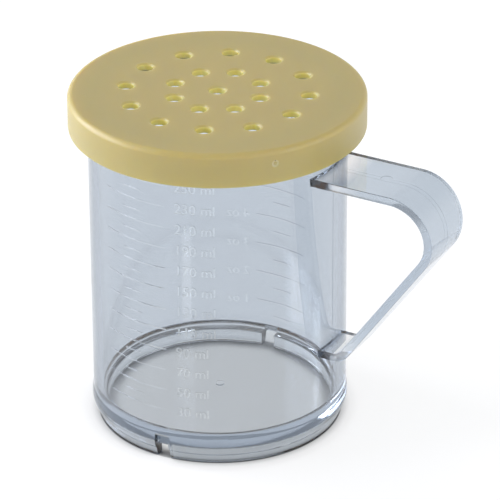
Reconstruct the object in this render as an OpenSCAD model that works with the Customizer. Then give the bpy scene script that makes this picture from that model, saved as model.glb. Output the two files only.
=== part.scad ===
// Clear shaker cup with a moulded strap handle and a push-in lid with pouring holes.
// Millimetres. The cup's axis is Z, its foot stands on z = 0 and the handle points along +X.
// Two mouldings: the cup, whose handle is a node of its own that meets the wall, and the lid.

/* [Cup] */
// Outer diameter of the wall
cup_d = 69.7; // [60:0.1:90]
// Thickness of the wall
wall_t = 2.5; // [1.6:0.1:3.2]
// Height of the rim above the table
rim_z = 93.2; // [88:0.1:130]
// Thickness of the floor
floor_t = 2.65; // [1.6:0.05:4]
// Fillet inside, where the floor meets the wall
floor_fillet_r = 1.35; // [0.8:0.05:5]
// Rounding of the rim's two edges
rim_edge_r = 0.5; // [0.2:0.1:0.7]
// Diameter of the gate's nub under the middle of the floor
gate_d = 2.4; // [1:0.1:4]
// How far the gate's nub stands down from the floor
gate_h = 0.4; // [0.2:0.1:1]

/* [Foot] */
// Height of the floor's underside above the table
foot_h = 4; // [3:0.1:6]
// How far the foot stands in from the wall where it meets the table
foot_inset = 1.4; // [0.8:0.05:2]
// Thickness of the foot's ring where it meets the table
foot_t = 2.4; // [1.5:0.1:3]
// Fillet inside the foot, under the floor
foot_fillet_r = 0.4; // [0.3:0.05:1.5]
// Bevel of the foot's lower edges
foot_bevel = 0.3; // [0.1:0.05:0.5]
// Height of the plain ring below the bead
ring_h = 2.75; // [2:0.05:3]
// How far the plain ring widens from the table to the bead
ring_flare = 0.8; // [0.3:0.1:1]
// How far the bead stands proud of the wall
bead_out = 0.35; // [0.2:0.05:1]
// Height of the bead's widest line
bead_z = 5.2; // [4.5:0.1:6]
// Height where the bead runs out into the wall
bead_top_z = 8.2; // [7:0.1:10]
// Width of the two drain notches
notch_w = 4; // [2:0.1:6]
// Height of the drain notches in the bead
notch_h = 7.2; // [6.4:0.1:8]
// Direction of the first drain notch, seen from above
notch_az = -87; // [-95:1:-60]

/* [Handle] */
// Thickness of the strap
strap_t = 2.35; // [1.8:0.05:3.5]
// Width of the strap at its top
strap_top_w = 19.8; // [14:0.1:24]
// Width of the strap at its foot
strap_low_w = 12.9; // [8:0.1:18]
// Drop from the rim to the strap's level top face
strap_drop = 12.2; // [11:0.1:20]
// Height of the lower tab's top face
tab_top_z = 28.6; // [20:0.1:36]
// Reach of the strap from the wall
strap_out = 34.15; // [28:0.05:45]
// Outer radius of the upper bend
top_bend_r = 12.25; // [8:0.05:14]
// Outer radius of the lower bend
low_bend_r = 6.2; // [5:0.1:8]
// Distance of the lower bend's centre from the wall
low_bend_out = 3.45; // [2:0.05:8]

/* [Lid] */
// Gap between the cup's wall and the skirt
skirt_gap = 3.65; // [2.5:0.05:8]
// Height of the skirt, from its lower edge to the top face
lid_h = 9.6; // [8:0.1:12]
// Thickness of the top plate
plate_t = 2; // [1.2:0.05:2.6]
// Thickness of the skirt
skirt_t = 1.5; // [1:0.05:2]
// Rounding of the lid's upper edge
lid_edge_r = 2.7; // [2.2:0.1:3.5]
// Rounding of the skirt's lower edge
skirt_edge_r = 0.4; // [0.2:0.05:0.45]
// Depth of the plug ring below the plate
plug_h = 5; // [3:0.1:8]
// Thickness of the plug ring
plug_t = 1.4; // [1:0.1:2]
// Lead-in bevel of the plug ring
plug_bevel = 0.4; // [0.2:0.1:0.6]
// Direction of the lid's first hole, seen from above
lid_turn = -38.4; // [-180:0.1:180]

/* [Pouring holes] */
// Diameter of a hole
hole_d = 4.25; // [2:0.05:5]
// Rounding of a hole's upper edge
hole_edge_r = 0.8; // [0.2:0.05:1]
// Distance of the outer row from the plug ring's inner face
row_inset = 6.2; // [3.5:0.1:10]
// Number of holes in the outer row
outer_row_n = 12; // [6:1:16]
// Number of holes in the inner row
inner_row_n = 8; // [4:1:10]

/* [Measuring scales] */
// How far a line stands proud of the wall
mark_out = 0.2; // [0.1:0.05:0.4]
// Width of a line
mark_w = 0.5; // [0.3:0.05:0.8]
// First long line of the millilitre scale
ml_first = 30; // [10:10:50]
// Millilitres from one long line to the next
ml_step = 20; // [20:10:50]
// Middle of the millilitre scale's lines, seen from above
ml_az = -101; // [-110:1:-96]
// Middle of the fluid ounce scale's lines, seen from above
oz_az = 87; // [80:1:110]
// Length of a numbered millilitre line, in degrees round the wall
ml_span = 33; // [20:1:40]
// Length of a numbered ounce line, in degrees round the wall
oz_span = 28; // [20:1:40]
// Length of a line between two numbered ones, in degrees round the wall
short_span = 10; // [6:1:16]

/* [Fits] */
// Clearance of the plug ring in the cup's mouth, on the radius
plug_clear = 0.08; // [0.02:0.01:0.1]

/* [Hidden] */
$fn = 96;
over = 1;  // how far a cut runs past the face that it opens
arc_steps = 24;  // steps along each bend of the strap

// Cup
wall_r = cup_d / 2;
bore_r = wall_r - wall_t;
floor_z = foot_h + floor_t;

// Foot: the bead is one arc above its widest line and a tighter one below it
foot_r = wall_r - foot_inset;
foot_in_r = foot_r - foot_t;
ring_top_r = foot_r + ring_flare;
bead_r = wall_r + bead_out;
bead_upper_r = arc_radius(bead_top_z - bead_z, bead_out);
bead_lower_r = arc_radius(bead_z - ring_h, bead_r - ring_top_r);

// Handle: the straight run is the common tangent of the two bends, which share their centres
// inside and out; run_turn is the direction of its normal
strap_reach = wall_r + strap_out;
strap_top_z = rim_z - strap_drop;
low_face_z = tab_top_z - strap_t;
top_bend = [strap_reach - top_bend_r, strap_top_z - top_bend_r];
low_bend = [wall_r + low_bend_out, low_face_z + low_bend_r];
bend_to_bend = top_bend - low_bend;
run_turn = atan2(bend_to_bend[1], bend_to_bend[0]) - acos((low_bend_r - top_bend_r) / norm(bend_to_bend));

// Lid
lid_r = wall_r + skirt_gap + skirt_t;
lid_top_z = rim_z + plate_t;
skirt_z = lid_top_z - lid_h;
plug_r = bore_r - plug_clear;
plug_in_r = plug_r - plug_t;

// Pouring holes: the rows are evenly spaced from the middle hole outwards
outer_row_r = plug_in_r - row_inset;
inner_row_r = outer_row_r / 2;

// Scales: a level's height follows from the cup's bore, and the fillet takes up a little room.
// They run as far up as the lid's skirt leaves them in sight.
ml_per_oz = 29.5735;
mm_per_ml = 1000 / (PI * bore_r * bore_r);
fillet_ml = (1 - PI / 4) * floor_fillet_r * floor_fillet_r * 2 * PI * bore_r / 1000;
top_ml = (skirt_z - mark_w - floor_z) / mm_per_ml - fillet_ml;

// Radius of the arc that leaves an upright tangent and comes in by dr over a height of dz
function arc_radius(dz, dr) = (dz * dz + dr * dr) / (2 * dr);

// Points on an arc of radius r about the point at, from one angle to another
function arc(at, r, from, to) = [
    for (i = [0 : arc_steps])
        let (angle = from + (to - from) * i / arc_steps) at + r * [cos(angle), sin(angle)]
];

// Height of the surface of a filling
function level(ml) = floor_z + (ml + fillet_ml) * mm_per_ml;

// What is cut off an outer corner at [0, 0], whose faces run along -X and -Y, to round it by r
module corner(r) {
    difference() {
        translate([-r, -r]) square(r + over);
        translate([-r, -r]) circle(r);
    }
}

// Half section of the bead between the heights z0 and z1, bounded outside by an arc of radius r
module bead_section(z0, z1, r) {
    intersection() {
        translate([bead_r - r, bead_z]) circle(r);
        translate([foot_in_r, z0]) square([bead_r - foot_in_r, z1 - z0]);
    }
}

// Half section of the plain ring that the cup stands on
module ring_section() {
    polygon([
        [foot_in_r + foot_bevel, 0],
        [foot_r - foot_bevel, 0],
        [foot_r, foot_bevel],
        [ring_top_r, ring_h],
        [bore_r + wall_t / 2, bead_z],
        [foot_in_r, bead_z],
        [foot_in_r, foot_bevel]
    ]);
}

// Half section of the cup: floor, wall, foot and bead
module cup_section() {
    difference() {
        union() {
            translate([0, foot_h]) square([bore_r + wall_t / 2, floor_t + floor_fillet_r]);
            translate([bore_r, bead_z]) square([wall_t, rim_z - bead_z]);
            bead_section(bead_z, bead_top_z, bead_upper_r);
            bead_section(ring_h, bead_z, bead_lower_r);
            ring_section();
            foot_fillet();
        }
        // the hollow above the floor, with its fillet left standing
        translate([-over, floor_z + floor_fillet_r]) square([bore_r + over, rim_z]);
        translate([-over, floor_z]) square([bore_r - floor_fillet_r + over, rim_z]);
        translate([bore_r - floor_fillet_r, floor_z + floor_fillet_r]) circle(floor_fillet_r);
        translate([wall_r, rim_z]) corner(rim_edge_r);
        translate([bore_r, rim_z]) mirror([1, 0]) corner(rim_edge_r);
    }
}

// Fillet between the foot's inner wall and the floor's underside
module foot_fillet() {
    translate([foot_in_r, foot_h])
        difference() {
            translate([-foot_fillet_r, -foot_fillet_r]) square(foot_fillet_r + floor_t / 2);
            translate([-foot_fillet_r, -foot_fillet_r]) circle(foot_fillet_r);
        }
}

// One raised line, span degrees long about the direction az, at the height z
module mark(z, az, span) {
    rotate([0, 0, az - span / 2])
        rotate_extrude(angle = span)
            translate([wall_r - mark_out, z - mark_w / 2]) square([2 * mark_out, mark_w]);
}

// Millilitres: a long line at each numbered level and a short one half way to the next
module ml_scale() {
    for (ml = [ml_first : ml_step : top_ml]) {
        mark(level(ml), ml_az, ml_span);
        if (ml + ml_step / 2 <= top_ml) mark(level(ml + ml_step / 2), ml_az, short_span);
    }
}

// Fluid ounces, across the cup: a long line at each ounce and a short one at each half
module oz_scale() {
    for (oz = [1 : top_ml / ml_per_oz]) {
        mark(level(oz * ml_per_oz), oz_az, oz_span);
        mark(level((oz - 0.5) * ml_per_oz), oz_az, short_span);
    }
}

// One drain notch: through the foot's whole height below the floor, and a shallow slot in the bead
module notch() {
    in_r = foot_in_r - foot_fillet_r - over;
    translate([in_r, -notch_w / 2, -over]) cube([foot_r + over - in_r, notch_w, foot_h + over]);
    translate([foot_r, -notch_w / 2, -over]) cube([bead_r - foot_r + over, notch_w, notch_h + over]);
}

// The cup's moulding without its handle
module cup() {
    color([0.74, 0.79, 0.84, 0.45])
        union() {
            difference() {
                rotate_extrude() cup_section();
                for (turn = [0, 180]) rotate([0, 0, notch_az + turn]) notch();
            }
            translate([0, 0, foot_h - gate_h]) cylinder(h = gate_h + floor_t / 2, d = gate_d);
            ml_scale();
            oz_scale();
        }
}

// The strap seen from the side: out along its outer face and back along its inner one
module strap_outline() {
    polygon(concat(
        [[0, strap_top_z]],
        arc(top_bend, top_bend_r, 90, run_turn),
        arc(low_bend, low_bend_r, run_turn, -90),
        [[0, low_face_z], [0, tab_top_z]],
        arc(low_bend, low_bend_r - strap_t, -90, run_turn),
        arc(top_bend, top_bend_r - strap_t, run_turn, 90),
        [[0, strap_top_z - strap_t]]
    ));
}

// The strap seen from its end: it narrows from its top to its foot
module strap_end() {
    polygon([
        [-strap_low_w / 2, low_face_z],
        [strap_low_w / 2, low_face_z],
        [strap_top_w / 2, strap_top_z],
        [-strap_top_w / 2, strap_top_z]
    ]);
}

// The strap handle: level at the top, round a wide bend, straight down and in, and back to the wall
module handle() {
    blank_w = max(strap_top_w, strap_low_w) + 2 * over;
    color([0.74, 0.79, 0.84, 0.45])
        difference() {
            intersection() {
                rotate([90, 0, 0]) linear_extrude(blank_w, center = true) strap_outline();
                rotate([90, 0, 90]) linear_extrude(strap_reach + over) strap_end();
            }
            cylinder(h = rim_z, r = wall_r);
        }
}

// Half section of the lid: plate, skirt and plug ring
module lid_section() {
    plug_z = rim_z - plug_h;
    difference() {
        translate([0, skirt_z]) square([lid_r, lid_h]);
        translate([lid_r, lid_top_z]) corner(lid_edge_r);
        translate([lid_r, skirt_z]) mirror([0, 1]) corner(skirt_edge_r);
        // the gap between the skirt and the plug ring
        difference() {
            translate([plug_r, skirt_z - over]) square([lid_r - skirt_t - plug_r, rim_z - skirt_z + over]);
            translate([lid_r - skirt_t, rim_z]) corner(lid_edge_r - skirt_t);
        }
        // the space inside the plug ring
        translate([-over, skirt_z - over]) square([plug_in_r + over, rim_z - skirt_z + over]);
        // the space below the plug ring, with its lead-in bevel
        polygon([
            [plug_in_r - over, skirt_z - over],
            [plug_r + over, skirt_z - over],
            [plug_r + over, plug_z + plug_bevel + over],
            [plug_r - plug_bevel, plug_z],
            [plug_in_r - over, plug_z]
        ]);
    }
}

// One pouring hole through the plate, rounded at its upper edge
module pouring_hole() {
    translate([0, 0, lid_top_z])
        rotate_extrude() {
            translate([0, -plate_t - over]) square([hole_d / 2, plate_t + 2 * over]);
            translate([hole_d / 2, 0]) mirror([1, 0]) corner(hole_edge_r);
        }
}

module lid() {
    color([0.93, 0.88, 0.66])
        difference() {
            rotate_extrude() lid_section();
            pouring_hole();
            rotate([0, 0, lid_turn]) {
                for (i = [1 : outer_row_n])
                    rotate([0, 0, i * 360 / outer_row_n]) translate([outer_row_r, 0]) pouring_hole();
                for (i = [1 : inner_row_n])
                    rotate([0, 0, i * 360 / inner_row_n]) translate([inner_row_r, 0]) pouring_hole();
            }
        }
}

cup();
handle();
lid();
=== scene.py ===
"""Looks of a clear shaker cup with a strap handle and a pale yellow lid with pouring holes.

The cup is one clear moulding, so its body, strap, measuring lines and figures are fused into one
mesh before the material refracts. The lid is a second mesh. Both take their main sizes from the
frame.
"""

import math

import bmesh
import bpy
from mathutils import Matrix, Vector

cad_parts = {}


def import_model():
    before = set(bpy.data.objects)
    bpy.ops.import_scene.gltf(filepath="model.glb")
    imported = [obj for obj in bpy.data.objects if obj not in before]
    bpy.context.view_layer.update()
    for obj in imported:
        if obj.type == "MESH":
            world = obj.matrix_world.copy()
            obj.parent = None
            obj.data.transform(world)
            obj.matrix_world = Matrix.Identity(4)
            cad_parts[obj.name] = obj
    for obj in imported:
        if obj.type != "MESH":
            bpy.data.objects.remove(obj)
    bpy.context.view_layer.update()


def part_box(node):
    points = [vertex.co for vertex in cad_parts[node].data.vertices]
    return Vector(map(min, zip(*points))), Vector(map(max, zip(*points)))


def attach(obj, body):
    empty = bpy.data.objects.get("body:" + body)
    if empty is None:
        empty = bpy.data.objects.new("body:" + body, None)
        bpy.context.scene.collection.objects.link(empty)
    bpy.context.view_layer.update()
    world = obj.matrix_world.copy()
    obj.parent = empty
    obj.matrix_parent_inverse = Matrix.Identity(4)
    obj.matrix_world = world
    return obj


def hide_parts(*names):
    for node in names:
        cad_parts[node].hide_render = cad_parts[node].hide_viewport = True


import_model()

MM = 0.001

# ---------------------------------------------------------------- sizes, in metres and degrees

cup_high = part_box("cup")[1]
strap_low, strap_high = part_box("handle")
lid_low, lid_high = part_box("lid")

# cup
RIM_Z = cup_high.z
BEAD_R = cup_high.x
BEAD_OUT = 0.35 * MM
WALL_R = BEAD_R - BEAD_OUT
WALL_T = 2.5 * MM
BORE_R = WALL_R - WALL_T
RIM_EDGE_R = 0.5 * MM
FOOT_H = 4.0 * MM
FLOOR_T = 4.35 * MM
FLOOR_Z = FOOT_H + FLOOR_T
FLOOR_FILLET_R = 1.35 * MM
GATE_R = 1.2 * MM          # nub under the middle of the floor
GATE_H = 0.4 * MM
FOOT_R = WALL_R - 1.4 * MM
FOOT_IN_R = FOOT_R - 2.4 * MM
FOOT_FILLET_R = 0.4 * MM
FOOT_BEVEL = 0.3 * MM
RING_H = 2.75 * MM         # the foot flares up to here, and the bead starts
RING_TOP_R = FOOT_R + 0.8 * MM
BEAD_Z = 5.2 * MM
BEAD_TOP_Z = 8.2 * MM
NOTCH_W = 4.0 * MM
NOTCH_H = 7.2 * MM
NOTCH_AZ = (-87, 93)       # azimuths count from the handle, anticlockwise as seen from above

# strap
STRAP_T = 2.35 * MM
STRAP_TOP_W = 2 * strap_high.y
STRAP_LOW_W = 12.9 * MM
STRAP_EDGE_R = 0.2 * MM
STRAP_ROOT_X = WALL_R - 1.9 * MM   # ends inside the wall over the strap's whole width
TOP_BEND_R = 12.25 * MM
LOW_BEND_R = 6.2 * MM
LOW_BEND_OUT = 3.45 * MM
STRAP_TRIM = 4 * MM        # how much wider the band is before its taper is cut
EJECTOR_X = 51 * MM        # the pin's print in the strap's top
EJECTOR_R = 1.6 * MM
EJECTOR_DEPTH = 0.06 * MM
SEAM_W = 0.3 * MM          # parting line of the mould
SEAM_DEPTH = 0.04 * MM
SEAM_AZ = (-180, 0)        # the wall's columns of faces that start at these azimuths are sunk

# lid
LID_R = lid_high.x
LID_TOP_Z = lid_high.z
SKIRT_Z = lid_low.z
SKIRT_T = 1.5 * MM
LID_EDGE_R = 1.5 * MM
SKIRT_ROOT_R = 1.2 * MM    # inside, where the skirt meets the plate
SKIRT_EDGE_R = 0.4 * MM
PLUG_R = BORE_R - 0.08 * MM
PLUG_IN_R = PLUG_R - 1.4 * MM
PLUG_Z = RIM_Z - 5 * MM
PLUG_BEVEL = 0.4 * MM
LID_TURN = -38.4
HOLE_R = 2.125 * MM
HOLE_EDGE_R = 0.8 * MM
HOLE_EDGE_LIFT = 0.02 * MM   # lets the rounding cross the plate's top face, not just touch it
OUTER_ROW_R = PLUG_IN_R - 6.2 * MM
OUTER_ROW_N = 12
INNER_ROW_R = OUTER_ROW_R / 2
INNER_ROW_N = 8
GATE_MARK_AZ = -38.2       # a round dent in the skirt with a pip in it
GATE_MARK_Z = LID_TOP_Z - 3.9 * MM
GATE_MARK_R = 0.9 * MM
GATE_MARK_DEPTH = 0.2 * MM
GATE_RING_IN_R = GATE_MARK_R * 0.55
GATE_PIP_R = GATE_MARK_R * 0.4
GATE_PIP_SUNK = 0.04 * MM
GATE_EDGE = 0.05 * MM
SKIRT_SPECK_Z = LID_TOP_Z - 3.15 * MM
SKIRT_SPECK_R = 0.22 * MM

# scales
SCALE_ZERO_Z = 6.65 * MM   # the scales count from here
ML_LEVELS = range(30, 251, 20)
ML_STEP = 20
OZ_LEVELS = range(1, 9)
ML_PER_OZ = 29.5735
M_PER_ML = 1e-6 / (math.pi * BORE_R**2)
FILLET_ML = (1 - math.pi / 4) * FLOOR_FILLET_R**2 * math.tau * BORE_R / 1e-6   # its own volume
ML_LONG = (-117, -84)      # azimuths of a line's ends
ML_SHORT = (-106, -96)
OZ_LONG = (73, 101)
OZ_SHORT = (82, 92)
LINE_W = 0.4 * MM
LINE_OUT = 0.06 * MM
LINE_SLOPE = 0.14 * MM
FIGURE_H = 2.8 * MM
FIGURE_OUT = 0.12 * MM
FONT_DIGIT_H = 0.7         # height of a figure of the built-in font at size 1
FIGURE_BOLD = 0.07 * MM    # how much wider a stroke is on each side
ML_FIGURE_AZ = -79.5
OZ_FIGURE_AZ = 104.5

# meshes
SPIN_STEPS = 360           # one column of faces a degree, so that lines can end on any degree
COLUMN = 360 / SPIN_STEPS
LID_SPIN_STEPS = 180
HOLE_SPIN_STEPS = 56
PAST = 1 * MM              # how far a cutting tool reaches past what it cuts
MERGE_REACH = 0.001 * MM   # points nearer than this are one
CLEAN_REACH = 0.002 * MM   # edges shorter than this are taken out
HAIR = 0.01 * MM           # room for rounding where places are compared
WALL_MARGIN = 0.1 * MM
CREASE = 60                # an edge of the strap that turns by more lies along one of its sides
CUP_SMOOTH = 20            # edges that turn by less are shaded smooth
LID_SMOOTH = 30

# ---------------------------------------------------------------- finishes

# A ramp is a pair of values: its mask is 0 at the first, 1 at the second, and level past either.

# moulded surface
SPECK_RARITY = 0.86        # share of the cells that hold no speck
SCRATCH_TURN = (0.7, 0.4, 0.9)
SCRATCH_STRETCH = (1, 9, 1)
SCRATCH_W = 0.004          # of the noise's range, on each side of its middle

# clear plastic
OUTSIDE_TINT = (0.495, 0.548, 0.617, 1)
INSIDE_TINT = (0.98, 0.98, 0.97, 1)
# painted shade: the wall's tint deepens where it turns away from the eye, at the cup's outline
OUTLINE_SHADE_TINT = (0.2, 0.245, 0.3, 1)
# painted shade: the foot's deep tint where a ray goes in, and a lighter one where it comes out
FOOT_SHADE_TINT = (0.225, 0.265, 0.315, 1)
FOOT_FAR_SHADE_TINT = (0.58, 0.63, 0.69, 1)
# painted light: the raised lines and figures are tinted lighter than the wall
MARK_LIGHT_TINT = (0.65, 0.71, 0.77, 1)
STRAP_TINT = (0.57, 0.63, 0.695, 1)
# painted shade and light: the strap's tint is deeper on its run and at its bend, and next to none at its
# roots, to lift the shade there
STRAP_RUN_SHADE_TINT = (0.49, 0.55, 0.62, 1)
STRAP_BEND_SHADE_TINT = (0.52, 0.58, 0.645, 1)
STRAP_ROOT_LIGHT_TINT = (0.97, 0.97, 0.97, 1)
DEPTH_TINT = (0.6, 0.66, 0.73, 1)
DEPTH_DENSITY = 15
OUTLINE_SHADE_RAMP = (0.58, 0.76)                                       # turn away from the eye
FOOT_SHADE_RAMP = (BEAD_TOP_Z, BEAD_Z)                               # height
INSIDE_RAMP = (FOOT_R - 0.2 * MM, FOOT_R - 0.6 * MM)           # distance from the axis
ON_STRAP_RAMP = (WALL_R + 0.4 * MM, WALL_R + 2 * MM)           # distance from the axis
OFF_STRAP_RAMP = (WALL_R + 0.5 * MM, WALL_R + 0.3 * MM)        # distance from the axis
PROUD_RAMP = (WALL_R + HAIR, WALL_R + LINE_OUT - HAIR)         # distance from the axis
ABOVE_BEAD_RAMP = (BEAD_TOP_Z, BEAD_TOP_Z + 0.5 * MM)          # height
RUN_TOP_RAMP = (75 * MM, 60 * MM)                              # height
RUN_FOOT_RAMP = (strap_low.z + 6 * MM, strap_low.z + 14 * MM)  # height
BEND_SHADE_RAMP = (52 * MM, 62 * MM)                                 # distance from the axis
ROOT_LIGHT_RAMP = (WALL_R + 9 * MM, WALL_R + 3 * MM)                 # distance from the axis
SIDE_RAMP = (0.5, 0.9)                                         # the normal's part across the strap
HAZE_RAMP = (0.4, 0.7)                                         # clouds
HAZE = (0.005, 0.03)       # roughness of the bare surface, least and most
SCUFF_FROST = 0.12
MARK_FROST = 0.2
STRAP_SIDE_FROST = 0.13
CLOUD_DEPTH = 0.06 * MM
CLEAR_IOR = 1.585

# yellow plastic
LID_PALE = (0.52, 0.425, 0.17, 1)
LID_DARK = (0.475, 0.385, 0.145, 1)
# painted glow: the walls of the holes are coloured brighter for the light that shines through the plate
HOLE_PAINTED_GLOW = (0.75, 0.64, 0.25, 1)
GATE_COLOUR = (0.6, 0.53, 0.31, 1)
SPECK_COLOUR = (0.09, 0.07, 0.04, 1)
SPECK_STRENGTH = 0.5
IN_PLUG_RAMP = (PLUG_IN_R - 0.2 * MM, PLUG_IN_R - 0.4 * MM)    # distance from the axis
PLATE_RAMP = (RIM_Z + 0.05 * MM, RIM_Z + 0.1 * MM)             # height
HOLE_TOP_RAMP = (LID_TOP_Z - 0.3 * MM, LID_TOP_Z - 0.5 * MM)   # height
SATIN_RAMP = (0.3, 0.7)                                        # clouds
SATIN = (0.36, 0.44)       # roughness, least and most
GRAIN_DEPTH = 0.012 * MM
LID_IOR = 1.6
GLOW_THROUGH = (1, 0.8, 0.35)      # how far red, green and blue light spread in the plastic
GLOW_REACH = 6 * MM

# ---------------------------------------------------------------- stage

FLOOR_SIZE = 6
FLOOR_PAINT = (0.85, 0.85, 0.85, 1)
FLOOR_DIM = (0.3, 0.3, 0.3, 1)     # the part of the seen floor that takes shadow
SHADE_REACH = 5 * MM       # how near a thing has to be to shade the floor's glow
SHUT_SKY = 0.3             # share of open sky where the glow is least
NEAR_SKY = 0.6             # and where only its last part is missing
SHUT_GLOW = 0.3
NEAR_GLOW = 0.68
OPEN_GLOW = 0.78
UNDER_FOOT_SHADE = 0.4
SHADE_IN_RAMP = (FOOT_IN_R - 3 * MM, FOOT_IN_R)                # distance from the axis
SHADE_OUT_RAMP = (FOOT_R + 0.3 * MM, FOOT_R)                   # distance from the axis
CEILING_COLOUR = (0.48, 0.5, 0.53, 1)
BACKDROP_COLOUR = (1, 1, 1, 1)
BACKDROP_SIDE = (-0.49, 0.87, 0)
BACKDROP_TOP_RAMP = (0.5, 0.1)                                 # the direction's part along Z
BACKDROP_SIDE_RAMP = (-0.1, 0.4)                               # its part towards the backdrop
LIGHT_BOUNCES = 32         # light runs far along inside the strap, the wall and the floor

CAMERA_AT = Vector((0.4599, -0.7963, 0.5200))
CAMERA_FORWARD = Vector((-0.437661, 0.774216, -0.457211))
CAMERA_ROLL = -0.287
FOCAL_PIXELS = 3804.2
PICTURE_PIXELS = 500
SENSOR_W = 36              # in millimetres, as Blender gives lenses

PLAIN = (1, 1, 1)
COOL = (0.93, 0.97, 1.12)
WARM = (1.1, 0.98, 0.85)
# name, place, point that it faces, width and height, watts, colour
LIGHTS = (
    ("left softbox", (-1.13, -0.41, 0.42), (0, 0, 0.2), (1.25, 0.8), 15.1, COOL),
    ("right softbox", (1.17, 0.25, 0.36), (0, 0, 0.2), (1.0, 0.65), 3.2, PLAIN),
    ("small window", (-1.17, 0, 0.85), (0, 0, 0.1), (0.3, 0.4), 3.2, PLAIN),
    ("front fill", (0.45, -1.1, 0.16), (0, 0, 0.08), (1.6, 0.3), 1.8, WARM),
    ("front window", (0.456, -0.184, 0.374), (0, 0, 0.03), (0.19, 0.12), 0.35, PLAIN),
    ("front card", (0.0108, -0.1035, 0.020), (0.0095, -0.0335, 0.020), (0.012, 0.0276), 0.0009, PLAIN),
    ("right card", (0.0988, 0.0094, 0.012), (0.0324, -0.0128, 0.012), (0.034, 0.021), 0.0018, PLAIN),
)


# ---------------------------------------------------------------- modelling helpers

def deselect_all():
    for obj in bpy.context.selected_objects:
        obj.select_set(False)


def make_active(obj):
    deselect_all()
    obj.select_set(True)
    bpy.context.view_layer.objects.active = obj


def edit(obj):
    """Edit mode on obj, with nothing selected."""
    make_active(obj)
    bpy.ops.object.mode_set(mode="EDIT")
    bpy.ops.mesh.select_all(action="DESELECT")


def leave_edit():
    bpy.ops.object.mode_set(mode="OBJECT")


def pick(obj, kind, wanted):
    """Selects what wanted() is true for, in edit mode, and nothing else. kind is FACE or EDGE."""
    mesh = bmesh.from_edit_mesh(obj.data)
    bpy.ops.mesh.select_mode(type=kind)
    bpy.ops.mesh.select_all(action="DESELECT")
    for element in mesh.faces if kind == "FACE" else mesh.edges:
        if wanted(element):
            element.select_set(True)
    mesh.select_flush_mode()
    bmesh.update_edit_mesh(obj.data)


def extrude_by(x, z):
    """Extrudes the selection by a step in the XZ plane."""
    bpy.ops.mesh.extrude_region_move(TRANSFORM_OT_translate={"value": (x, 0, z)})


def step_faces(slope, out):
    """Moves the selected faces along their normals, and leaves a sloping side round them."""
    bpy.ops.mesh.inset(thickness=slope, depth=out, use_boundary=True, use_even_offset=True)


def close_mesh():
    """Merges double points and turns every face outwards, in edit mode."""
    bpy.ops.mesh.select_all(action="SELECT")
    bpy.ops.mesh.remove_doubles(threshold=MERGE_REACH)
    bpy.ops.mesh.normals_make_consistent(inside=False)


def apply_modifier(obj, kind, **settings):
    make_active(obj)
    modifier = obj.modifiers.new(kind, kind)
    for key, value in settings.items():
        setattr(modifier, key, value)
    bpy.ops.object.modifier_apply(modifier=modifier.name)


def join(pieces, name):
    make_active(pieces[0])
    for piece in pieces:
        piece.select_set(True)
    bpy.ops.object.join()
    pieces[0].name = name
    return pieces[0]


def combine(obj, tool, operation):
    """Adds tool to obj, or cuts it out, and removes the tool."""
    apply_modifier(obj, "BOOLEAN", object=tool, operation=operation, solver="MANIFOLD")
    bpy.data.objects.remove(tool)


def clean(obj):
    """Takes out the faces without area that the cuts leave along shared edges."""
    edit(obj)
    bpy.ops.mesh.select_all(action="SELECT")
    bpy.ops.mesh.dissolve_degenerate(threshold=CLEAN_REACH)
    leave_edit()


def smooth(obj, degrees):
    """Smooth shading up to that angle, with flat faces kept truly flat beside their roundings."""
    make_active(obj)
    bpy.ops.object.shade_smooth_by_angle(angle=math.radians(degrees))
    apply_modifier(obj, "WEIGHTED_NORMAL", keep_sharp=True, weight=90)


class Pen:
    """Draws a section in the XZ plane: a point that is extruded along lines and spun along arcs."""

    def __init__(self, name, x, z):
        bpy.ops.mesh.primitive_plane_add(size=MM, location=(x, 0, z))
        self.obj = bpy.context.object
        self.obj.name = name
        bpy.ops.object.transform_apply(location=True)
        bpy.ops.object.mode_set(mode="EDIT")
        bpy.ops.mesh.select_mode(type="VERT")
        bpy.ops.mesh.select_all(action="SELECT")
        bpy.ops.mesh.merge(type="CENTER")
        self.at = Vector((x, 0, z))

    def line(self, x, z):
        step = Vector((x, 0, z)) - self.at
        extrude_by(step.x, step.z)
        self.at += step

    def arc(self, x, z, degrees, steps):
        """Round the point (x, z), anticlockwise as seen from -Y.

        The operator turns clockwise about its axis, so the pen follows it with a negative angle.
        """
        middle = Vector((x, 0, z))
        turn = Matrix.Rotation(math.radians(-degrees), 3, "Y")
        bpy.ops.mesh.spin(steps=steps, angle=math.radians(degrees), center=middle, axis=(0, 1, 0))
        self.at = middle + turn @ (self.at - middle)

    def spin(self, steps):
        """Turns the section round Z into a closed body, and leaves edit mode."""
        bpy.ops.mesh.select_all(action="SELECT")
        bpy.ops.mesh.spin(steps=steps, angle=math.tau, center=(0, 0, 0), axis=(0, 0, 1))
        close_mesh()
        leave_edit()
        return self.obj


def dress(obj, material):
    """Gives the whole of obj one material."""
    obj.data.materials.clear()
    obj.data.materials.append(material)


def polar(radius, degrees, z=0.0):
    angle = math.radians(degrees)
    return Vector((radius * math.cos(angle), radius * math.sin(angle), z))


def azimuth(point):
    return math.degrees(math.atan2(point.y, point.x))


# ---------------------------------------------------------------- the cup

def level(ml):
    """Height of the surface of a filling of that many millilitres."""
    return SCALE_ZERO_Z + (ml + FILLET_ML) * M_PER_ML


def measuring_lines():
    """(height, first azimuth, last azimuth) of each raised line."""
    lines = [(level(ml), *ML_LONG) for ml in ML_LEVELS]
    lines += [(level(ml + ML_STEP / 2), *ML_SHORT) for ml in ML_LEVELS[:-1]]
    lines += [(level(oz * ML_PER_OZ), *OZ_LONG) for oz in OZ_LEVELS]
    lines += [(level((oz - 0.5) * ML_PER_OZ), *OZ_SHORT) for oz in OZ_LEVELS]
    return sorted(lines)


def arc_radius(dz, dr):
    """Radius of an arc with one end upright, where dz and dr lie between its ends."""
    return (dz * dz + dr * dr) / (2 * dr)


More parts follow.
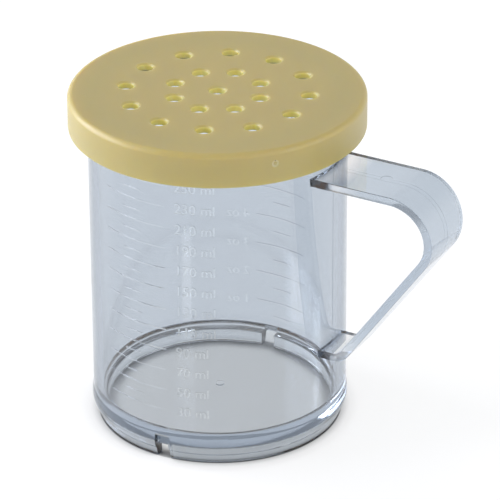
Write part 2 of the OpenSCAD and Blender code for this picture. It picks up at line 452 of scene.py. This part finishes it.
def cup_body():
    """The cup without strap and figures, spun from its half section."""
    pen = Pen("cup_body", 0, FOOT_H - GATE_H)
    pen.line(GATE_R, FOOT_H - GATE_H)
    pen.line(GATE_R, FOOT_H)
    pen.line(FOOT_IN_R - FOOT_FILLET_R, FOOT_H)
    pen.arc(FOOT_IN_R - FOOT_FILLET_R, FOOT_H - FOOT_FILLET_R, -90, steps=6)
    pen.line(FOOT_IN_R, FOOT_BEVEL)
    pen.line(FOOT_IN_R + FOOT_BEVEL, 0)
    pen.line(FOOT_R - FOOT_BEVEL, 0)
    pen.line(FOOT_R, FOOT_BEVEL)
    pen.line(RING_TOP_R, RING_H)
    lower_r = arc_radius(BEAD_Z - RING_H, BEAD_R - RING_TOP_R)
    upper_r = arc_radius(BEAD_TOP_Z - BEAD_Z, BEAD_OUT)
    lower_turn = math.degrees(math.asin((BEAD_Z - RING_H) / lower_r))
    upper_turn = math.degrees(math.asin((BEAD_TOP_Z - BEAD_Z) / upper_r))
    pen.arc(BEAD_R - lower_r, BEAD_Z, lower_turn, steps=10)
    pen.arc(BEAD_R - upper_r, BEAD_Z, upper_turn, steps=6)
    for z in sorted(z + side * LINE_W / 2 for z, _, _ in measuring_lines() for side in (-1, 1)):
        pen.line(WALL_R, z)
    pen.line(WALL_R, RIM_Z - RIM_EDGE_R)
    pen.arc(WALL_R - RIM_EDGE_R, RIM_Z - RIM_EDGE_R, 90, steps=5)
    pen.line(BORE_R + RIM_EDGE_R, RIM_Z)
    pen.arc(BORE_R + RIM_EDGE_R, RIM_Z - RIM_EDGE_R, 90, steps=5)
    pen.line(BORE_R, FLOOR_Z + FLOOR_FILLET_R)
    pen.arc(BORE_R - FLOOR_FILLET_R, FLOOR_Z + FLOOR_FILLET_R, -90, steps=12)
    pen.line(0, FLOOR_Z)
    return pen.spin(SPIN_STEPS)


def on_outer_face(point):
    """Whether a point of the cup is as far from the axis as the wall's outer face."""
    return Vector((point.x, point.y)).length > WALL_R - WALL_MARGIN


def raise_lines(cup):
    """Draws the measuring lines out of the wall, with sloping sides."""
    lines = measuring_lines()

    def on_a_line(face):
        middle = face.calc_center_median()
        az = azimuth(middle)
        return on_outer_face(middle) and any(
            abs(middle.z - z) < LINE_W / 2 and first < az < last for z, first, last in lines)

    edit(cup)
    pick(cup, "FACE", on_a_line)
    step_faces(LINE_SLOPE, LINE_OUT)
    leave_edit()


def sink_seams(cup):
    """The mould's parting line: one column of the wall's faces on each side, a trace deeper."""
    def on_seam(face):
        middle = face.calc_center_median()
        on_wall = middle.z > BEAD_TOP_Z and on_outer_face(middle)
        return on_wall and any(0 < azimuth(middle) - start < COLUMN for start in SEAM_AZ)

    edit(cup)
    pick(cup, "FACE", on_seam)
    step_faces(SEAM_DEPTH, -SEAM_DEPTH)
    leave_edit()


def notch_block(az, low_r, high_r, top):
    """A block from under the foot up to the height top, at the azimuth az."""
    middle = ((low_r + high_r) / 2, 0, top / 2 - PAST / 2)
    bpy.ops.mesh.primitive_cube_add(size=1, location=middle)
    block = bpy.context.object
    block.scale = (high_r - low_r, NOTCH_W, top + PAST)
    bpy.ops.object.transform_apply(location=True, scale=True)
    block.rotation_euler.z = math.radians(az)
    bpy.ops.object.transform_apply(rotation=True)
    return block


def notch_tools():
    """What is cut away at the two drain notches: the foot up to the floor, and a slot in the bead."""
    tools = []
    for az in NOTCH_AZ:
        tools.append(notch_block(az, FOOT_IN_R - PAST, FOOT_R, FOOT_H))
        tools.append(notch_block(az, FOOT_R - HAIR, BEAD_R + PAST, NOTCH_H))
    return tools


def figure(text, az, z):
    """A raised label on the wall, its middle at the height z, that starts at the azimuth az."""
    bpy.ops.object.text_add()
    label = bpy.context.object
    label.data.body = text
    label.data.size = FIGURE_H / FONT_DIGIT_H
    label.data.extrude = FIGURE_OUT
    label.data.offset = FIGURE_BOLD
    label.data.resolution_u = 4
    bpy.ops.object.convert(target="MESH")
    label = bpy.context.object
    edit(label)
    close_mesh()
    leave_edit()
    for vertex in label.data.vertices:
        x, y, depth = vertex.co
        vertex.co = polar(WALL_R + depth, az + math.degrees(x / WALL_R), z - FIGURE_H / 2 + y)
    return label


def figures():
    labels = [figure(f"{ml} ml", ML_FIGURE_AZ, level(ml)) for ml in ML_LEVELS]
    labels += [figure(f"{oz} oz", OZ_FIGURE_AZ, level(oz * ML_PER_OZ)) for oz in OZ_LEVELS]
    return labels


def is_long_edge(edge):
    """Whether an edge of the strap runs along it, between a broad face and a side."""
    at_root = all(vertex.co.x < STRAP_ROOT_X + HAIR for vertex in edge.verts)
    return not at_root and edge.calc_face_angle(0) > math.radians(CREASE)


def is_strap_seam(face):
    """Whether a face lies in the narrow strip along the middle of either broad face of the strap."""
    middle = face.calc_center_median()
    return abs(middle.y) < SEAM_W / 2 and middle.x > STRAP_ROOT_X + HAIR


def ejector_tool():
    """What the ejector pin's shallow print takes out of the strap's top."""
    middle = (EJECTOR_X, 0, strap_high.z - EJECTOR_DEPTH + PAST / 2)
    bpy.ops.mesh.primitive_cylinder_add(vertices=64, radius=EJECTOR_R, depth=PAST, location=middle)
    tool = bpy.context.object
    bpy.ops.object.transform_apply(location=True)
    edit(tool)
    pick(tool, "EDGE", lambda edge: all(vertex.co.z < middle[2] for vertex in edge.verts))
    bpy.ops.mesh.bevel(offset=EJECTOR_DEPTH, segments=2, affect="EDGES")
    leave_edit()
    return tool


def strap():
    """The handle: a band extruded and spun along its route, then trimmed to its taper."""
    top_z = strap_high.z
    low_z = strap_low.z
    top_bend = Vector((strap_high.x - TOP_BEND_R, 0, top_z - TOP_BEND_R))
    low_bend = Vector((WALL_R + LOW_BEND_OUT, 0, low_z + LOW_BEND_R))
    apart = top_bend - low_bend
    spread = math.acos((LOW_BEND_R - TOP_BEND_R) / apart.length)
    normal_turn = math.atan2(apart.z, apart.x) - spread
    run_length = math.sqrt(apart.length**2 - (TOP_BEND_R - LOW_BEND_R) ** 2)
    run = Vector((math.sin(normal_turn), 0, -math.cos(normal_turn))) * run_length

    bpy.ops.mesh.primitive_plane_add(size=1, location=(STRAP_ROOT_X, 0, top_z - STRAP_T / 2),
                                     rotation=(0, math.radians(90), 0))
    band = bpy.context.object
    band.name = "strap"
    band.scale = (STRAP_T, STRAP_TOP_W + STRAP_TRIM, 1)
    bpy.ops.object.transform_apply(location=True, rotation=True, scale=True)
    bpy.ops.object.mode_set(mode="EDIT")
    bpy.ops.mesh.select_all(action="SELECT")
    extrude_by(top_bend.x - STRAP_ROOT_X, 0)
    bpy.ops.mesh.spin(steps=40, angle=math.pi / 2 - normal_turn, center=top_bend, axis=(0, -1, 0))
    extrude_by(run.x, run.z)
    bpy.ops.mesh.spin(steps=20, angle=normal_turn + math.pi / 2, center=low_bend, axis=(0, -1, 0))
    extrude_by(STRAP_ROOT_X - low_bend.x, 0)
    close_mesh()
    lean = (STRAP_TOP_W - STRAP_LOW_W) / 2 / (top_z - low_z)
    for side in (-1, 1):
        bpy.ops.mesh.select_all(action="SELECT")
        bpy.ops.mesh.bisect(plane_co=(0, side * STRAP_TOP_W / 2, top_z), plane_no=(0, side, -lean),
                            use_fill=True, clear_outer=True)
    pick(band, "EDGE", is_long_edge)
    bpy.ops.mesh.bevel(offset=STRAP_EDGE_R, segments=3, affect="EDGES")
    for side in (-1, 1):
        bpy.ops.mesh.select_all(action="SELECT")
        bpy.ops.mesh.bisect(plane_co=(0, side * SEAM_W / 2, 0), plane_no=(0, side, 0))
    pick(band, "FACE", is_strap_seam)
    step_faces(SEAM_DEPTH, -SEAM_DEPTH)
    leave_edit()
    return band


def clear_cup():
    cup = cup_body()
    raise_lines(cup)
    sink_seams(cup)
    for tool in notch_tools():
        combine(cup, tool, "DIFFERENCE")
    band = strap()
    combine(band, ejector_tool(), "DIFFERENCE")
    combine(cup, join([band] + figures(), "strap_and_figures"), "UNION")
    cup.name = "clear_cup"
    clean(cup)
    smooth(cup, CUP_SMOOTH)
    return cup


# ---------------------------------------------------------------- the lid

def lid_body():
    """The lid without holes and gate mark, spun from its half section."""
    pen = Pen("lid_body", 0, LID_TOP_Z)
    pen.line(LID_R - LID_EDGE_R, LID_TOP_Z)
    pen.arc(LID_R - LID_EDGE_R, LID_TOP_Z - LID_EDGE_R, -90, steps=12)
    pen.line(LID_R, SKIRT_Z + SKIRT_EDGE_R)
    pen.arc(LID_R - SKIRT_EDGE_R, SKIRT_Z + SKIRT_EDGE_R, -90, steps=5)
    pen.line(LID_R - SKIRT_T, SKIRT_Z)
    pen.line(LID_R - SKIRT_T, RIM_Z - SKIRT_ROOT_R)
    pen.arc(LID_R - SKIRT_T - SKIRT_ROOT_R, RIM_Z - SKIRT_ROOT_R, 90, steps=6)
    pen.line(PLUG_R, RIM_Z)
    pen.line(PLUG_R, PLUG_Z + PLUG_BEVEL)
    pen.line(PLUG_R - PLUG_BEVEL, PLUG_Z)
    pen.line(PLUG_IN_R, PLUG_Z)
    pen.line(PLUG_IN_R, RIM_Z)
    pen.line(0, RIM_Z)
    return pen.spin(LID_SPIN_STEPS)


def flatten(obj, z):
    """Makes one face of the fan of triangles round the axis at the height z."""
    def in_fan(face):
        return len(face.verts) == 3 and abs(face.calc_center_median().z - z) < MERGE_REACH

    edit(obj)
    pick(obj, "FACE", in_fan)
    bpy.ops.mesh.dissolve_faces()
    leave_edit()


def hole_places():
    places = [Vector((0, 0, LID_TOP_Z))]
    for radius, count in ((OUTER_ROW_R, OUTER_ROW_N), (INNER_ROW_R, INNER_ROW_N)):
        places += [polar(radius, LID_TURN + i * 360 / count, LID_TOP_Z) for i in range(count)]
    return places


def hole_tool():
    """What one pouring hole takes out of the plate: a rod that flares at the plate's top face."""
    below = -(LID_TOP_Z - RIM_Z) - PAST
    flare_z = -HOLE_EDGE_R + HOLE_EDGE_LIFT
    pen = Pen("hole_tool", 0, below)
    pen.line(HOLE_R, below)
    pen.line(HOLE_R, flare_z)
    pen.arc(HOLE_R + HOLE_EDGE_R, flare_z, -90, steps=7)
    pen.line(HOLE_R + HOLE_EDGE_R, PAST)
    pen.line(0, PAST)
    return pen.spin(HOLE_SPIN_STEPS)


def hole_tools():
    """One object with a tool at every hole. The first tool stays at the origin and cuts nothing."""
    first = hole_tool()
    tools = [first]
    for place in hole_places():
        copy = bpy.data.objects.new("hole_tool", first.data.copy())
        bpy.context.scene.collection.objects.link(copy)
        copy.data.transform(Matrix.Translation(place))
        tools.append(copy)
    return join(tools, "hole_tools")


def skirt_rod(rod_r, from_r, to_r):
    """A short rod pointing outwards through the skirt at the gate mark, with bevelled ends."""
    bpy.ops.mesh.primitive_cylinder_add(vertices=32, radius=rod_r, depth=to_r - from_r,
                                        location=((from_r + to_r) / 2, 0, GATE_MARK_Z),
                                        rotation=(0, math.radians(90), 0))
    rod = bpy.context.object
    bpy.ops.object.transform_apply(location=True, rotation=True)
    edit(rod)
    pick(rod, "EDGE", lambda edge: len({round(vertex.co.x, 6) for vertex in edge.verts}) == 1)
    bpy.ops.mesh.bevel(offset=GATE_EDGE, segments=2, affect="EDGES")
    leave_edit()
    rod.rotation_euler.z = math.radians(GATE_MARK_AZ)
    bpy.ops.object.transform_apply(rotation=True)
    return rod


def yellow_lid():
    lid = lid_body()
    flatten(lid, LID_TOP_Z)
    flatten(lid, RIM_Z)
    combine(lid, hole_tools(), "DIFFERENCE")
    combine(lid, skirt_rod(GATE_MARK_R, LID_R - GATE_MARK_DEPTH, LID_R + PAST), "DIFFERENCE")
    combine(lid, skirt_rod(GATE_PIP_R, LID_R - PAST, LID_R - GATE_PIP_SUNK), "UNION")
    lid.name = "yellow_lid"
    smooth(lid, LID_SMOOTH)
    return lid


# ---------------------------------------------------------------- nodes

def new_material(name):
    material = bpy.data.materials.new(name)
    material.use_nodes = True
    return material, material.node_tree.nodes["Principled BSDF"]


def feed(tree, socket, value):
    """Links value to the socket if it comes out of a node, and otherwise sets it there."""
    if isinstance(value, bpy.types.NodeSocket):
        tree.links.new(value, socket)
    else:
        socket.default_value = value


def calculate(tree, operation, *values):
    node = tree.nodes.new("ShaderNodeMath")
    node.operation = operation
    for socket, value in zip(node.inputs, values):
        feed(tree, socket, value)
    return node.outputs["Value"]


def chain(tree, operation, first, *others):
    """first, with the operation done on it and each of the others in turn."""
    for other in others:
        first = calculate(tree, operation, first, other)
    return first


def between(tree, value, start, end, low=0.0, high=1.0):
    """Low up to start, high from end on, and a straight ramp between them."""
    node = tree.nodes.new("ShaderNodeMapRange")
    feed(tree, node.inputs["Value"], value)
    for name, number in (("From Min", start), ("From Max", end), ("To Min", low), ("To Max", high)):
        feed(tree, node.inputs[name], number)
    return node.outputs["Result"]


def mix_colours(tree, factor, first, second):
    node = tree.nodes.new("ShaderNodeMix")
    node.data_type = "RGBA"
    feed(tree, node.inputs["Factor"], factor)
    feed(tree, node.inputs["A"], first)
    feed(tree, node.inputs["B"], second)
    return node.outputs["Result"]


def noise(tree, place, scale, detail):
    node = tree.nodes.new("ShaderNodeTexNoise")
    feed(tree, node.inputs["Vector"], place)
    feed(tree, node.inputs["Scale"], scale)
    feed(tree, node.inputs["Detail"], detail)
    return node.outputs["Fac"]


def coordinates(tree, kind):
    return tree.nodes.new("ShaderNodeTexCoord").outputs[kind]


def split(tree, vector):
    """The X, Y and Z outputs of a vector."""
    node = tree.nodes.new("ShaderNodeSeparateXYZ")
    feed(tree, node.inputs["Vector"], vector)
    return node.outputs


def measure(tree, operation, vector, fixed):
    """The number that an operation makes of a vector and a fixed one."""
    node = tree.nodes.new("ShaderNodeVectorMath")
    node.operation = operation
    feed(tree, node.inputs[0], vector)
    feed(tree, node.inputs[1], fixed)
    return node.outputs["Value"]


def radius_and_height(tree, place):
    """Distance from the axis, and height, of the point that is shaded."""
    parts = split(tree, place)
    squares = [calculate(tree, "MULTIPLY", parts[name], parts[name]) for name in "XY"]
    return calculate(tree, "SQRT", calculate(tree, "ADD", *squares)), parts["Z"]


def near_point(tree, place, point, reach):
    """1 within reach of the point, and 0 a little further away."""
    return between(tree, measure(tree, "DISTANCE", place, point), reach * 1.2, reach)


def bump(tree, shader, height, distance):
    node = tree.nodes.new("ShaderNodeBump")
    node.inputs["Distance"].default_value = distance
    feed(tree, node.inputs["Height"], height)
    feed(tree, shader.inputs["Normal"], node.outputs["Normal"])


# ---------------------------------------------------------------- materials

def moulded_surface():
    """The group that both plastics use: slow clouds, fine grain, rare specks and thin scratches."""
    tree = bpy.data.node_groups.new("moulded surface", "ShaderNodeTree")
    tree.interface.new_socket("Place", in_out="INPUT", socket_type="NodeSocketVector")
    for name in ("Cloud Scale", "Grain Scale", "Speck Scale", "Speck Size", "Scratch Scale"):
        tree.interface.new_socket(name, in_out="INPUT", socket_type="NodeSocketFloat")
    for name in ("Clouds", "Grain", "Specks", "Scratches"):
        tree.interface.new_socket(name, in_out="OUTPUT", socket_type="NodeSocketFloat")
    given = tree.nodes.new("NodeGroupInput").outputs
    result = tree.nodes.new("NodeGroupOutput").inputs
    feed(tree, result["Clouds"], noise(tree, given["Place"], given["Cloud Scale"], 2))
    feed(tree, result["Grain"], noise(tree, given["Place"], given["Grain Scale"], 3))

    cells = tree.nodes.new("ShaderNodeTexVoronoi")
    feed(tree, cells.inputs["Vector"], given["Place"])
    feed(tree, cells.inputs["Scale"], given["Speck Scale"])
    colour = tree.nodes.new("ShaderNodeSeparateColor")
    feed(tree, colour.inputs["Color"], cells.outputs["Color"])
    chosen = calculate(tree, "GREATER_THAN", colour.outputs["Red"], SPECK_RARITY)
    dot = between(tree, cells.outputs["Distance"], given["Speck Size"], 0.0)
    feed(tree, result["Specks"], calculate(tree, "MULTIPLY", chosen, dot))

    slanted = tree.nodes.new("ShaderNodeMapping")
    slanted.inputs["Rotation"].default_value = SCRATCH_TURN
    slanted.inputs["Scale"].default_value = SCRATCH_STRETCH
    feed(tree, slanted.inputs["Vector"], given["Place"])
    streaks = noise(tree, slanted.outputs["Vector"], given["Scratch Scale"], 1)
    crest = calculate(tree, "ABSOLUTE", calculate(tree, "SUBTRACT", streaks, 0.5))
    feed(tree, result["Scratches"], between(tree, crest, SCRATCH_W, 0.0))
    return tree


def surface_of(tree, group, place, **values):
    """Places the moulded surface group in a material, and returns the group's outputs."""
    node = tree.nodes.new("ShaderNodeGroup")
    node.node_tree = group
    feed(tree, node.inputs["Place"], place)
    for name, value in values.items():
        node.inputs[name.replace("_", " ")].default_value = value
    return node.outputs


def body_tint(tree, radius, height, raised):
    """Tint of the cup's body, with painted shade: deeper at its outline and foot, and next to none on
    the inside.

    The foot's painted shade is deeper where a ray goes in than where it comes out again.
    """
    turned_away = tree.nodes.new("ShaderNodeLayerWeight").outputs["Facing"]
    # painted shade: deeper tint at the cup's outline
    wall = mix_colours(tree, between(tree, turned_away, *OUTLINE_SHADE_RAMP), OUTSIDE_TINT, OUTLINE_SHADE_TINT)
    leaving = tree.nodes.new("ShaderNodeNewGeometry").outputs["Backfacing"]
    # painted shade on the foot
    foot = mix_colours(tree, leaving, FOOT_SHADE_TINT, FOOT_FAR_SHADE_TINT)
    outside = mix_colours(tree, between(tree, height, *FOOT_SHADE_RAMP), wall, foot)
    tint = mix_colours(tree, between(tree, radius, *INSIDE_RAMP), outside, INSIDE_TINT)
    # painted light on the raised lines and figures
    return mix_colours(tree, raised, tint, MARK_LIGHT_TINT)


def strap_tint(tree, radius, height):
    """Tint of the strap, with painted shade deeper at its bend and on its leaning run, and painted light
    leaving next to none at its roots.
    """
    on_run = calculate(tree, "MULTIPLY", between(tree, height, *RUN_TOP_RAMP),
                       between(tree, height, *RUN_FOOT_RAMP))
    tint = mix_colours(tree, between(tree, radius, *BEND_SHADE_RAMP), STRAP_TINT, STRAP_BEND_SHADE_TINT)
    tint = mix_colours(tree, on_run, tint, STRAP_RUN_SHADE_TINT)
    return mix_colours(tree, between(tree, radius, *ROOT_LIGHT_RAMP), tint, STRAP_ROOT_LIGHT_TINT)


def clear_plastic(group):
    """Clear plastic with a cool tint that carries painted shade and light, and a surface uneven as a
    moulding is.

    The raised lines and figures are frosted and painted lighter, and the strap's sides are frosted a
    little.
    """
    material, shader = new_material("clear plastic")
    tree = material.node_tree
    place = coordinates(tree, "Object")
    surface = surface_of(tree, group, place, Cloud_Scale=45, Scratch_Scale=160)
    radius, height = radius_and_height(tree, place)
    on_strap = between(tree, radius, *ON_STRAP_RAMP)
    raised = chain(tree, "MULTIPLY", between(tree, radius, *PROUD_RAMP),
                   between(tree, height, *ABOVE_BEAD_RAMP), between(tree, radius, *OFF_STRAP_RAMP))
    tint = mix_colours(tree, on_strap, body_tint(tree, radius, height, raised),
                       strap_tint(tree, radius, height))
    feed(tree, shader.inputs["Base Color"], tint)

    haze = between(tree, surface["Clouds"], *HAZE_RAMP, *HAZE)
    scuffs = calculate(tree, "MULTIPLY", surface["Scratches"], SCUFF_FROST)
    across = calculate(tree, "ABSOLUTE", split(tree, coordinates(tree, "Normal"))["Y"])
    side_frost = chain(tree, "MULTIPLY", between(tree, across, *SIDE_RAMP), on_strap, STRAP_SIDE_FROST)
    frost = calculate(tree, "MAXIMUM", calculate(tree, "MULTIPLY", raised, MARK_FROST), side_frost)
    feed(tree, shader.inputs["Roughness"], chain(tree, "ADD", haze, scuffs, frost))
    bump(tree, shader, surface["Clouds"], CLOUD_DEPTH)
    shader.inputs["IOR"].default_value = CLEAR_IOR
    shader.inputs["Transmission Weight"].default_value = 1
    volume = tree.nodes.new("ShaderNodeVolumeAbsorption")
    volume.inputs["Color"].default_value = DEPTH_TINT
    volume.inputs["Density"].default_value = DEPTH_DENSITY
    feed(tree, tree.nodes["Material Output"].inputs["Volume"], volume.outputs["Volume"])
    return material


def lid_plastic(group):
    """Opaque yellow plastic with a satin face and a few dark specks moulded in.

    The walls of the holes are painted brighter, a painted glow for the light that shines through the
    plate there.
    """
    material, shader = new_material("yellow plastic")
    tree = material.node_tree
    place = coordinates(tree, "Object")
    surface = surface_of(tree, group, place, Cloud_Scale=35, Grain_Scale=1400, Speck_Scale=130,
                         Speck_Size=0.045)
    radius, height = radius_and_height(tree, place)
    # painted glow on the walls of the holes
    hole_glow_mask = chain(tree, "MULTIPLY", between(tree, radius, *IN_PLUG_RAMP),
                    between(tree, height, *PLATE_RAMP), between(tree, height, *HOLE_TOP_RAMP))
    tone = mix_colours(tree, surface["Clouds"], LID_DARK, LID_PALE)
    tone = mix_colours(tree, hole_glow_mask, tone, HOLE_PAINTED_GLOW)
    gate = polar(LID_R, GATE_MARK_AZ, GATE_MARK_Z)
    gate_ring = calculate(tree, "SUBTRACT", near_point(tree, place, gate, GATE_MARK_R),
                          near_point(tree, place, gate, GATE_RING_IN_R))
    tone = mix_colours(tree, gate_ring, tone, GATE_COLOUR)
    scattered = calculate(tree, "MULTIPLY", surface["Specks"], SPECK_STRENGTH)
    by_gate = near_point(tree, place, polar(LID_R, GATE_MARK_AZ, SKIRT_SPECK_Z), SKIRT_SPECK_R)
    specks = calculate(tree, "MAXIMUM", scattered, by_gate)
    feed(tree, shader.inputs["Base Color"], mix_colours(tree, specks, tone, SPECK_COLOUR))
    feed(tree, shader.inputs["Roughness"], between(tree, surface["Clouds"], *SATIN_RAMP, *SATIN))
    bump(tree, shader, surface["Grain"], GRAIN_DEPTH)
    shader.inputs["IOR"].default_value = LID_IOR
    shader.inputs["Subsurface Weight"].default_value = 1
    shader.inputs["Subsurface Radius"].default_value = GLOW_THROUGH
    shader.inputs["Subsurface Scale"].default_value = GLOW_REACH
    return material


# ---------------------------------------------------------------- floor, room, lights and camera

def floor_glow(tree):
    """Strength of the floor's glow: less near the cup, and least under the ring of its foot."""
    sky = tree.nodes.new("ShaderNodeAmbientOcclusion")
    sky.inputs["Distance"].default_value = SHADE_REACH
    open_share = sky.outputs["AO"]
    shut_part = between(tree, open_share, SHUT_SKY, NEAR_SKY, SHUT_GLOW, NEAR_GLOW)
    open_part = between(tree, open_share, NEAR_SKY, 1.0, 0.0, OPEN_GLOW - NEAR_GLOW)
    away, _ = radius_and_height(tree, coordinates(tree, "Object"))
    under_foot = chain(tree, "MULTIPLY", between(tree, away, *SHADE_IN_RAMP),
                       between(tree, away, *SHADE_OUT_RAMP), UNDER_FOOT_SHADE)
    return calculate(tree, "SUBTRACT", calculate(tree, "ADD", shut_part, open_part), under_foot)


def floor():
    """A white floor. It glows for the camera, in gloss and through the plastic, and takes the shadow."""
    bpy.ops.mesh.primitive_plane_add(size=FLOOR_SIZE, location=(0, 0, 0))
    ground = bpy.context.object
    ground.name = "floor"
    material, shader = new_material("white floor")
    tree = material.node_tree
    shader.inputs["Base Color"].default_value = FLOOR_PAINT
    shader.inputs["Roughness"].default_value = 1
    shader.inputs["Specular IOR Level"].default_value = 0
    rays = tree.nodes.new("ShaderNodeLightPath").outputs
    seen = chain(tree, "MAXIMUM", rays["Is Camera Ray"], rays["Is Glossy Ray"],
                 rays["Is Transmission Ray"])
    dim = tree.nodes.new("ShaderNodeBsdfDiffuse")
    dim.inputs["Color"].default_value = FLOOR_DIM
    glow = tree.nodes.new("ShaderNodeEmission")
    feed(tree, glow.inputs["Strength"], floor_glow(tree))
    white = tree.nodes.new("ShaderNodeAddShader")
    feed(tree, white.inputs[0], dim.outputs["BSDF"])
    feed(tree, white.inputs[1], glow.outputs["Emission"])
    mix = tree.nodes.new("ShaderNodeMixShader")
    feed(tree, mix.inputs["Fac"], seen)
    feed(tree, mix.inputs[1], shader.outputs["BSDF"])
    feed(tree, mix.inputs[2], white.outputs["Shader"])
    feed(tree, tree.nodes["Material Output"].inputs["Surface"], mix.outputs["Shader"])
    dress(ground, material)


def world():
    """A grey room with a white backdrop, low down behind the object."""
    room = bpy.data.worlds.new("studio")
    room.use_nodes = True
    tree = room.node_tree
    direction = coordinates(tree, "Generated")
    low_down = between(tree, split(tree, direction)["Z"], *BACKDROP_TOP_RAMP)
    towards = measure(tree, "DOT_PRODUCT", direction, BACKDROP_SIDE)
    behind = between(tree, towards, *BACKDROP_SIDE_RAMP)
    backdrop = calculate(tree, "MULTIPLY", low_down, behind)
    feed(tree, tree.nodes["Background"].inputs["Color"],
         mix_colours(tree, backdrop, CEILING_COLOUR, BACKDROP_COLOUR))
    bpy.context.scene.world = room


def area_light(name, place, aim, size, power, colour):
    data = bpy.data.lights.new(name, "AREA")
    data.shape = "RECTANGLE"
    data.size, data.size_y = size
    data.energy = power
    data.color = colour
    lamp = bpy.data.objects.new(name, data)
    lamp.location = place
    lamp.rotation_euler = (Vector(aim) - Vector(place)).to_track_quat("-Z", "Y").to_euler()
    lamp.visible_camera = False
    bpy.context.scene.collection.objects.link(lamp)


def camera():
    data = bpy.data.cameras.new("camera")
    data.sensor_width = SENSOR_W
    data.lens = FOCAL_PIXELS * SENSOR_W / PICTURE_PIXELS
    data.clip_start = 0.05
    data.clip_end = 20
    eye = bpy.data.objects.new("camera", data)
    forward = CAMERA_FORWARD.normalized()
    level_right = forward.cross(Vector((0, 0, 1))).normalized()
    level_up = level_right.cross(forward)
    roll = math.radians(CAMERA_ROLL)
    right = level_right * math.cos(roll) + level_up * math.sin(roll)
    up = level_up * math.cos(roll) - level_right * math.sin(roll)
    eye.matrix_world = Matrix((
        (right.x, up.x, -forward.x, CAMERA_AT.x),
        (right.y, up.y, -forward.y, CAMERA_AT.y),
        (right.z, up.z, -forward.z, CAMERA_AT.z),
        (0, 0, 0, 1),
    ))
    bpy.context.scene.collection.objects.link(eye)
    bpy.context.scene.camera = eye


# ---------------------------------------------------------------- the scene

scene = bpy.context.scene
scene.view_settings.view_transform = "Standard"
scene.cycles.max_bounces = LIGHT_BOUNCES
scene.cycles.glossy_bounces = LIGHT_BOUNCES
scene.cycles.transmission_bounces = LIGHT_BOUNCES

camera()
world()
floor()
for light in LIGHTS:
    area_light(*light)

moulded = moulded_surface()

cup = clear_cup()
dress(cup, clear_plastic(moulded))
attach(cup, "cup")
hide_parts("cup", "handle")

lid = yellow_lid()
dress(lid, lid_plastic(moulded))
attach(lid, "lid")
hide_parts("lid")
